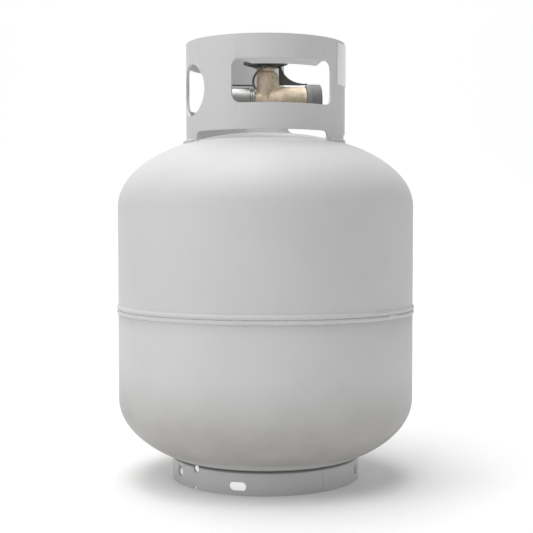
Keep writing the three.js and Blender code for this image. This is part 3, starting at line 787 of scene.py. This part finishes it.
for k in range(HEM_STEPS + 1):
    offset = (last - first) * k / HEM_STEPS
    lift = max(1 - offset / LEFT_TAPER, 1 - (last - first - offset) / RIGHT_TAPER)
    if lift > 0:
        side, out = radial(first + offset + 90), radial(first + offset)
        choose("verts", lambda v, middle: abs(middle.dot(side)) < 0.05 and middle.dot(out) > 0
               and middle.z < WINDOW_HIGH - 2)
        bpy.ops.transform.translate(value=(0, 0, HEM_DROP * 0.95 * lift * MM))
bpy.ops.object.mode_set(mode="OBJECT")
soften(lip, 0.5, 2)
dress(lip, "tank", "painted_steel")

# %% [markdown]
# Fillet welds hold the collar's feet and the foot ring. They are short lengths of bead, sunk
# halfway into the two surfaces that they join.

# %% Welds of the collar feet
FOOT_BEAD_Z, FOOT_BEAD_R, BEAD_INSET = 351.4, 2.7, 3
FEET = {"left": (-88, -57), "right": (49, 76), "gap": (168, 187), "rear": (218, 240)}
for side, (start, end) in FEET.items():
    weld = bead_length(f"collar_bead_{side}", COLLAR_R + 0.7, FOOT_BEAD_Z, FOOT_BEAD_R,
                       start + BEAD_INSET, end - start - 2 * BEAD_INSET)
    dress(uneven(weld, 0.8, 4.0), "tank", "painted_weld", f"collar_weld_{side}")

# %% [markdown]
# The data plate is blank here: a thin sheet, curved with the collar and rounded at its corners.

# %% Data plate
LABEL_START, LABEL_END = 61, 84
LABEL_LOW, LABEL_HIGH, LABEL_CORNER = 409, 451, 2.5
label = ring("data_label", COLLAR_R - 0.1, COLLAR_R + 0.95, LABEL_LOW - 4, LABEL_HIGH + 2.5, 240)
outline = window_tool(LABEL_START, LABEL_END, LABEL_LOW, LABEL_HIGH, (LABEL_CORNER,) * 2, 5)
cut(label, outline, operation="INTERSECT")
soften(label, 0.3, 2)
dress(label, "tank", "plate_metal", "data_plate")

# %% [markdown]
# ## The foot ring
#
# A strip rolled into a hoop and butt-welded. Slots and holes drain it and take hooks on the paint
# line. A slot tool starts as a drill: its two halves are moved apart, which stretches the circle
# into a slot with round ends. The two vertices in its middle are left to the second half. The
# same holes are made again on the opposite side.

# %% Foot ring with its holes
FOOT_SHEET = 2.4
FOOT_LAP = 0.9
SLOT_AZIMUTH, SLOT_Z, SLOT_R = -16.3, 8.6, 4.4
HOLES = ((6.0, -62.6, 14.0), (6.0, 70.6, 13.0), (4.0, -45.0, 21.0), (3.0, -46.0, 0.0))
foot = ring("foot_hoop", FOOT_R - FOOT_SHEET, FOOT_R, 0.0, FOOT_TOP + FOOT_LAP, 240)
for turn in (0.0, 180.0):
    slot_tool = drill(SLOT_R, turn + SLOT_AZIMUTH, SLOT_Z)
    in_edit(slot_tool)
    sideways = radial(turn + SLOT_AZIMUTH + 90)
    for way, least in ((1, 0.3), (-1, 0.0)):
        choose("verts", lambda v, middle: way * middle.dot(sideways) > least)
        bpy.ops.transform.translate(value=sideways * way * SLOT_R * MM)
    bpy.ops.object.mode_set(mode="OBJECT")
    cut(foot, slot_tool)
    for radius, azimuth, z in HOLES:
        cut(foot, drill(radius, turn + azimuth, z))
in_edit(foot)
bpy.ops.mesh.select_all(action="SELECT")
bpy.ops.mesh.remove_doubles(threshold=MERGE * MM)
bpy.ops.object.mode_set(mode="OBJECT")
soften(foot, 0.7, 3)
dress(foot, "tank", "painted_steel", "foot_ring")

# %% [markdown]
# The hoop's own butt weld is ground almost flush, and three fillets hold the hoop to the vessel.

# %% Welds of the foot ring
SEAM_AZIMUTH, SEAM_WIDTH = 35.6, 3.2
HOOP_BEAD_Z, HOOP_BEAD_R, HOOP_BEAD_SWEEP = 24.6, 3.0, 26
seam = ring("foot_seam", FOOT_R - 0.6, FOOT_R + 0.4, 1.2, FOOT_TOP - 2.5, 10,
            SEAM_AZIMUTH, SEAM_WIDTH)
soften(seam, 0.35, 2, 30)
dress(uneven(seam, 0.3, 3.0), "tank", "painted_weld")
for side, azimuth in (("right", 110), ("rear", 180), ("left", -110)):
    weld = bead_length(f"foot_bead_{side}", FOOT_R + 0.9, HOOP_BEAD_Z, HOOP_BEAD_R,
                       azimuth - HOOP_BEAD_SWEEP / 2, HOOP_BEAD_SWEEP)
    dress(uneven(weld, 0.9, 4.0), "tank", "painted_weld", f"foot_ring_weld_{side}")

# %% [markdown]
# ## The valve
#
# The valve body is a hot brass forging: a barrel, a fat side outlet and a boss on the other side,
# all flowing into each other. Plain turned shapes are joined with Boolean unions, and a voxel
# remesh and a smoothing pass then melt the sharp inner corners into forged fillets. The machined
# parts, the thread and the hexagon, stay separate and crisp.

# %% Forged valve body
BARREL_R, BARREL_TOP, OUTLET_END = 9.4, 426.4, 54.2
BLEEDER_Z = 407
VOXEL = 0.7
HEX_LOW, HEX_HIGH = BOSS_TOP + 0.35, 382.0
barrel = turned("valve_forging", [
    (0, 380.5), (12, 380.5), (11.4, 384), (10.8, 387), (10.8, PORT_Z), (BARREL_R + 0.2, 408),
    (BARREL_R, 412), (BARREL_R, BARREL_TOP - 1), (BARREL_R - 0.8, BARREL_TOP), (0, BARREL_TOP)], 72)
outlet = lay(turned("outlet", [
    (0, 0), (11, 3), (13.4, 8), (15.0, 14), (15.3, 20), (15.3, 37), (0, 37)], 96), OUTLET_AZIMUTH)
relief_boss = lay(turned("relief_boss", [(0, 0), (10.2, 2), (9.6, 12), (9.4, 26), (0, 26)], 64),
                  RELIEF_AZIMUTH)
bleeder_boss = lay(turned("bleeder_boss", [(0, 2), (5.4, 4), (4.6, 9), (4.4, 14), (0, 14)], 48),
                   BLEEDER_AZIMUTH, BLEEDER_Z)


def wedge(name, outline, half_width):
    """An upright block in the plane of the outlet, drawn as (distance along the outlet, z)."""
    along, across = radial(OUTLET_AZIMUTH), radial(OUTLET_AZIMUTH + 90)
    corners = [(along * u + Vector((0, 0, z)) - across * half_width) * MM for u, z in outline]
    piece = draw(name, corners)
    bpy.ops.mesh.select_all(action="SELECT")
    bpy.ops.mesh.edge_face_add()
    step = {"value": across * 2 * half_width * MM}
    bpy.ops.mesh.extrude_region_move(TRANSFORM_OT_translate=step)
    close_up()
    return piece


gusset = wedge("gusset", [
    (0, 404), (15.6, 404), (14.0, 412), (13.5, 421), (11, 425), (8, BARREL_TOP), (0, BARREL_TOP)], 6.5)
cut(barrel, outlet, relief_boss, bleeder_boss, gusset, operation="UNION")
apply(barrel, "REMESH", mode="VOXEL", voxel_size=VOXEL * MM)
apply(barrel, "SMOOTH", factor=0.5, iterations=7)
cut(barrel, drill(9.5, OUTLET_AZIMUTH, PORT_Z, 18, 60))
dress(barrel, "tank", "brass", "valve_body", smooth=60)

# %% [markdown]
# A hexagon is a six-sided cylinder. Its corners are chamfered the way a lathe does it: the prism
# is intersected with a turned blank that is only as wide as the corners in the middle.

# %% Hexagons
def hexagon(name, across_flats, low, high, chamfer=1.3):
    """An upright six-sided nut blank with its corners turned off."""
    corner = across_flats / math.sqrt(3)
    piece = begin(name, bpy.ops.mesh.primitive_cylinder_add, vertices=6, radius=corner * MM,
                  depth=(high - low) * MM, location=(0, 0, (high + low) / 2 * MM))
    bpy.ops.object.transform_apply()
    blank = [(0, low), (corner - chamfer, low), (corner, low + chamfer * 0.6),
             (corner, high - chamfer * 0.6), (corner - chamfer, high), (0, high)]
    cut(piece, turned("blank", blank, 72), operation="INTERSECT")
    return piece


base_hex = hexagon("valve_hexagon", 27, HEX_LOW, HEX_HIGH)
neck = turned("inlet_neck", [(0, 346), (12.6, 346), (12.8, 373), (0, 373)], 64)
cut(base_hex, neck, operation="UNION")
soften(base_hex, 0.25, 2)
dress(base_hex, "tank", "brass")

nut = hexagon("bonnet", 19, BARREL_TOP + 0.3, 430.3)
bonnet_neck = turned("bonnet_neck", [(0, 414), (7.8, 414), (7.9, 431.6), (7.2, 432.2), (0, 432.2)], 64)
cut(nut, bonnet_neck, operation="UNION")
soften(nut, 0.25, 2)
dress(nut, "tank", "brass", "bonnet_nut")

# %% [markdown]
# The outlet thread is drawn as rings, not as a helix: the dust cap hides it at rest, and rings are
# what the eye sees of a thread from the side. The bore runs in to the rubber seal.

# %% Outlet thread
THREAD_START, THREAD_PITCH, THREAD_ROOT, THREAD_CREST = 42.0, 2.8, 13.3, 14.4
thread = [(9.5, 36), (15.0, 36), (15.3, 36.4), (15.3, 41.6), (15.0, 42)]
for k in range(4):
    u = THREAD_START + THREAD_PITCH * k
    thread += [(THREAD_ROOT, u + 0.3), (THREAD_ROOT, u + 0.9), (THREAD_CREST, u + 1.4)]
    thread += [(THREAD_CREST, u + 2.4), (THREAD_ROOT, u + THREAD_PITCH)]
thread += [(THREAD_ROOT, OUTLET_END), (9.5, OUTLET_END), (9.5, 36)]
dress(lay(turned("outlet_thread", thread, 96), OUTLET_AZIMUTH), "tank", "brass")

# %% [markdown]
# The relief valve is a plated sleeve on the left boss, with a chamfered end, a lock groove and a
# vent in the middle of its end face.

# %% Relief valve sleeve
sleeve = [(9.4, 12.6), (12.6, 12.6), (13.4, 13.4), (13.4, 15.2), (12.6, 15.8), (12.6, 17.2), (14, 18)]
sleeve += [(14, 38.6), (12.8, 40), (10.4, 40), (10.0, 38.9), (5.2, 38.9), (4.6, 39.6), (4, 39.6)]
sleeve += [(4, 38), (7.5, 38), (7.5, 26.4), (9.4, 26.4), (9.4, 12.6)]
dress(lay(turned("relief_sleeve", sleeve, 96), RELIEF_AZIMUTH), "tank", "nickel_plate", "relief_body")

# %% [markdown]
# ## Handwheel, stem and screws
#
# The handwheel is a flat three-lobed moulding. It starts as a six-sided cylinder: every second
# upright edge is drawn in, and a wide bevel on all six rounds both the lobes and the hollows
# between. The top is inset, sunk a little inside its rim and then raised to a cone round the hub.

# %% Handwheel
LOBE_R, HOLLOW_R, RIM_HIGH = 29.5, 18.0, 435.4
wheel = begin("hand_knob", bpy.ops.mesh.primitive_cylinder_add, vertices=6, radius=LOBE_R * MM,
              depth=(RIM_HIGH - WHEEL_LOW) * MM, location=(0, 0, (RIM_HIGH + WHEEL_LOW) / 2 * MM))
bpy.ops.object.transform_apply()
bpy.ops.object.mode_set(mode="EDIT")
lobes = [radial(azimuth) for azimuth in (60, 180, 300)]
choose("verts", lambda v, middle: all(middle.xy.normalized().dot(lobe.xy) < 0.9 for lobe in lobes))
bpy.ops.transform.resize(value=(HOLLOW_R / LOBE_R, HOLLOW_R / LOBE_R, 1), center_override=(0, 0, 0))
choose("edges", lambda e, middle: abs((e.verts[0].co - e.verts[1].co).normalized().z) > 0.9)
bpy.ops.mesh.bevel(offset=8.0 * MM, segments=10, affect="EDGES")
choose("faces", lambda f, middle: f.normal.z < -0.9)
bpy.ops.mesh.inset(thickness=2.6 * MM)
bpy.ops.mesh.extrude_region_move(TRANSFORM_OT_translate={"value": (0, 0, 1.0 * MM)})
choose("faces", lambda f, middle: f.normal.z > 0.9 and middle.z > RIM_HIGH - 0.1)
bpy.ops.mesh.inset(thickness=3.0 * MM)
for shrink, rise in ((0.94, -0.9), (0.62, 3.6)):
    bpy.ops.mesh.extrude_region_move(TRANSFORM_OT_translate={"value": (0, 0, rise * MM)})
    bpy.ops.transform.resize(value=(shrink, shrink, 1), center_override=(0, 0, 0))
close_up()
hub = turned("hub", [(0, WHEEL_LOW), (9, WHEEL_LOW), (9, 441.6), (8.2, WHEEL_TOP), (0, WHEEL_TOP)], 64)
cut(wheel, hub, operation="UNION")
cut(wheel, begin("bore", bpy.ops.mesh.primitive_cylinder_add, vertices=32, radius=3.8 * MM,
                 depth=40 * MM, location=(0, 0, 440 * MM)))
soften(wheel, 0.7, 3, 38)
dress(wheel, "handwheel", "black_plastic", "handwheel")

# %% [markdown]
# The screws are turned, and a thin block cuts the slot in each head.

# %% Screws and washer
BLADE_LENGTH, BLADE_DEPTH = 20, 10


def slotted_head(name, profile, slot_width, slot_floor):
    """A turned screw whose head has a straight slot."""
    screw = turned(name, profile, 48)
    blade = begin("blade", bpy.ops.mesh.primitive_cube_add, size=1.0,
                  location=(0, 0, (slot_floor + BLADE_DEPTH / 2) * MM),
                  scale=(BLADE_LENGTH * MM, slot_width * MM, BLADE_DEPTH * MM))
    bpy.ops.object.transform_apply()
    return cut(screw, blade)


wheel_screw = slotted_head("wheel_screw", [
    (0, 432), (1.5, 432), (1.5, 444.1), (4.4, 444.1), (4.4, 445.2), (3.4, 446.3), (0, 446.8)], 1.1, 445.4)
dress(wheel_screw, "handwheel", "zinc_steel", "handwheel_screw")
washer = [(1.9, 442.8), (6.2, 442.8), (6.5, 443.1), (6.5, 443.5), (6.2, 443.8), (1.9, 443.8), (1.9, 442.8)]
dress(turned("wheel_washer", washer, 64), "handwheel", "zinc_steel", "handwheel_washer")
bleeder = slotted_head("bleed_screw", [
    (0, 8.4), (1.55, 8.4), (1.55, 14.3), (3.2, 14.3), (3.5, 14.7), (3.5, 16.2), (3.1, 16.8), (0, 17)],
    0.9, 15.9)
dress(lay(bleeder, BLEEDER_AZIMUTH, BLEEDER_Z), "bleeder", "brass", "bleeder_screw")

# %% [markdown]
# ## Dust cap and its strap
#
# The cap is a moulded cup with raised rings to grip. Its profile is turned with the open end
# towards the valve, and laid level.

# %% Dust cap
CAP_R, CAP_NECK_R, CAP_START, CAP_END = 18.2, 17.0, 42.4, 58.0
CAP_BORE, CAP_FLOOR = 14.8, 56.3
GRIP_START, GRIP_PITCH, GRIP_RINGS = 46.6, 1.75, 6
cup = [(0, CAP_FLOOR), (CAP_BORE, CAP_FLOOR), (CAP_BORE, CAP_START), (CAP_NECK_R - 0.4, CAP_START)]
cup += [(CAP_NECK_R, CAP_START + 0.4), (CAP_NECK_R, 45.4), (CAP_R - 0.5, 45.8), (CAP_R, 46.3)]
for k in range(GRIP_RINGS):
    u = GRIP_START + GRIP_PITCH * k
    cup += [(CAP_R, u + 0.75), (CAP_R - 0.7, u + 1.0), (CAP_R - 0.7, u + 1.4), (CAP_R, u + 1.65)]
cup += [(CAP_R - 0.1, 57.2), (CAP_R - 0.9, CAP_END - 0.1), (CAP_R - 2.4, CAP_END), (0, CAP_END)]
dress(lay(turned("cap", cup, 120), OUTLET_AZIMUTH), "cap", "cap_plastic", "dust_cap")

# %% [markdown]
# The strap is one soft moulding: an eye round the bonnet, a web down to the cap with a hollow
# upper edge, and a thin loop on the other side. The web starts as a flat outline that is extruded
# to its thickness.

# %% Strap's web and eye
def curve(start, control, end, points=10):
    """Points of a smooth bend from start to end, pulled towards a control point."""
    for k in range(points + 1):
        t = k / points
        yield tuple((1 - t) ** 2 * a + 2 * t * (1 - t) * b + t * t * c
                    for a, b, c in zip(start, control, end))


EYE_LOW, EYE_HIGH = 430.6, 432.1
web = [(14.6, 413), (36, 413), (42, 413.45), (45.0, 413.45), (45.0, 414.9)]
web += list(curve((40, 414.9), (20.5, 416.5), (16.6, EYE_HIGH), 12))
web += [(9, EYE_HIGH), (9, EYE_LOW), (14, EYE_LOW)]
strap = wedge("cap_strap", web, 1.5)
cut(strap, ring("strap_eye", 8.3, 12.3, EYE_LOW, EYE_HIGH, 72), operation="UNION")
cut(strap, ring("strap_ledge", 11, 15.2, EYE_LOW, EYE_HIGH, 8, -14, 20), operation="UNION")

# %% [markdown]
# The loop is a flat band that wraps the front of the valve. A square is extruded step by step
# along a path given as (azimuth, z), and turned a little at each step so that it keeps facing out.
# A voxel remesh then melts web, eye, loop and strip into one moulding. The strip is a black band
# along the top of the relief sleeve, a painted shadow line there. The strap has to follow the cap
# when the cap is pulled off.

# %% Strap's loop and shadow strip
LOOP_R = 14.2
LOOP_SECTION = (2.6, 1.9)
SHADOW_STRIP_AHEAD = 5.0
STRAP_VOXEL = 0.4
PATH = [(-4.4, 431.6), (-16.0, 429.6), (-28.2, 426.8), (-39.0, 424.8), (-48.9, 422.6), (-57.0, 420.6)]
PATH += [(-62.5, 418.4), (-65.3, 416.2), (-65.3, 413.9), (-61.0, 411.8), (-54.1, 410.0), (-43.6, 407.0)]
spots = [radial(azimuth) * LOOP_R * MM + Vector((0, 0, z * MM)) for azimuth, z in PATH]
band = begin("strap_loop", bpy.ops.mesh.primitive_plane_add, size=MM, location=spots[0])
bpy.ops.object.transform_apply()
bpy.ops.object.mode_set(mode="EDIT")
bpy.ops.mesh.select_mode(type="FACE")
bpy.ops.mesh.select_all(action="SELECT")
bpy.ops.transform.resize(value=(*LOOP_SECTION, 1), center_override=spots[0])
bpy.ops.transform.rotate(value=-math.radians(PATH[0][0]), orient_axis="Z", center_override=spots[0])
for k in range(1, len(PATH)):
    step = {"value": spots[k] - spots[k - 1]}
    bpy.ops.mesh.extrude_region_move(TRANSFORM_OT_translate=step)
    turn = math.radians(PATH[k][0] - PATH[k - 1][0])
    bpy.ops.transform.rotate(value=-turn, orient_axis="Z", center_override=spots[k])
close_up(fill=True)
cut(strap, band, operation="UNION")
# Painted shade: a black strip along the top of the relief sleeve, in place of the shadow line there.
shadow_strip = wedge("strap_shadow_strip", [(-40, 410.7), (-12.8, 410.7), (-12.8, 412.3), (-40, 412.3)], 1.2)
shadow_strip.location = radial(OUTLET_AZIMUTH + 90) * -SHADOW_STRIP_AHEAD * MM
cut(strap, shadow_strip, operation="UNION")
apply(strap, "REMESH", mode="VOXEL", voxel_size=STRAP_VOXEL * MM)
apply(strap, "SMOOTH", factor=0.5, iterations=3)
strap.data.materials.clear()
strap.data.materials.append(FINISHES["black_plastic"])
bpy.ops.object.shade_smooth()
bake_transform(strap)
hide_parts("cap_tether")
print("strap:", len(strap.data.polygons), "faces")

# %% [markdown]
# ## The pieces that the engineering model already has right
#
# Stems, springs, seals and the float stop are inside the valve and the vessel. Their shapes stay
# as designed, and each one takes the finish of its material.

# %% Finishes for the remaining nodes
slot_of = {row["node"]: row["material_slot"] for row in frame["record"]["subparts"]}
for node, piece in frame["nodes"].items():
    piece.data.materials.clear()
    piece.data.materials.append(FINISHES[slot_of[node]])
print(len(finished) + 1, "finished pieces with the strap;", len(frame["nodes"]), "nodes dressed")
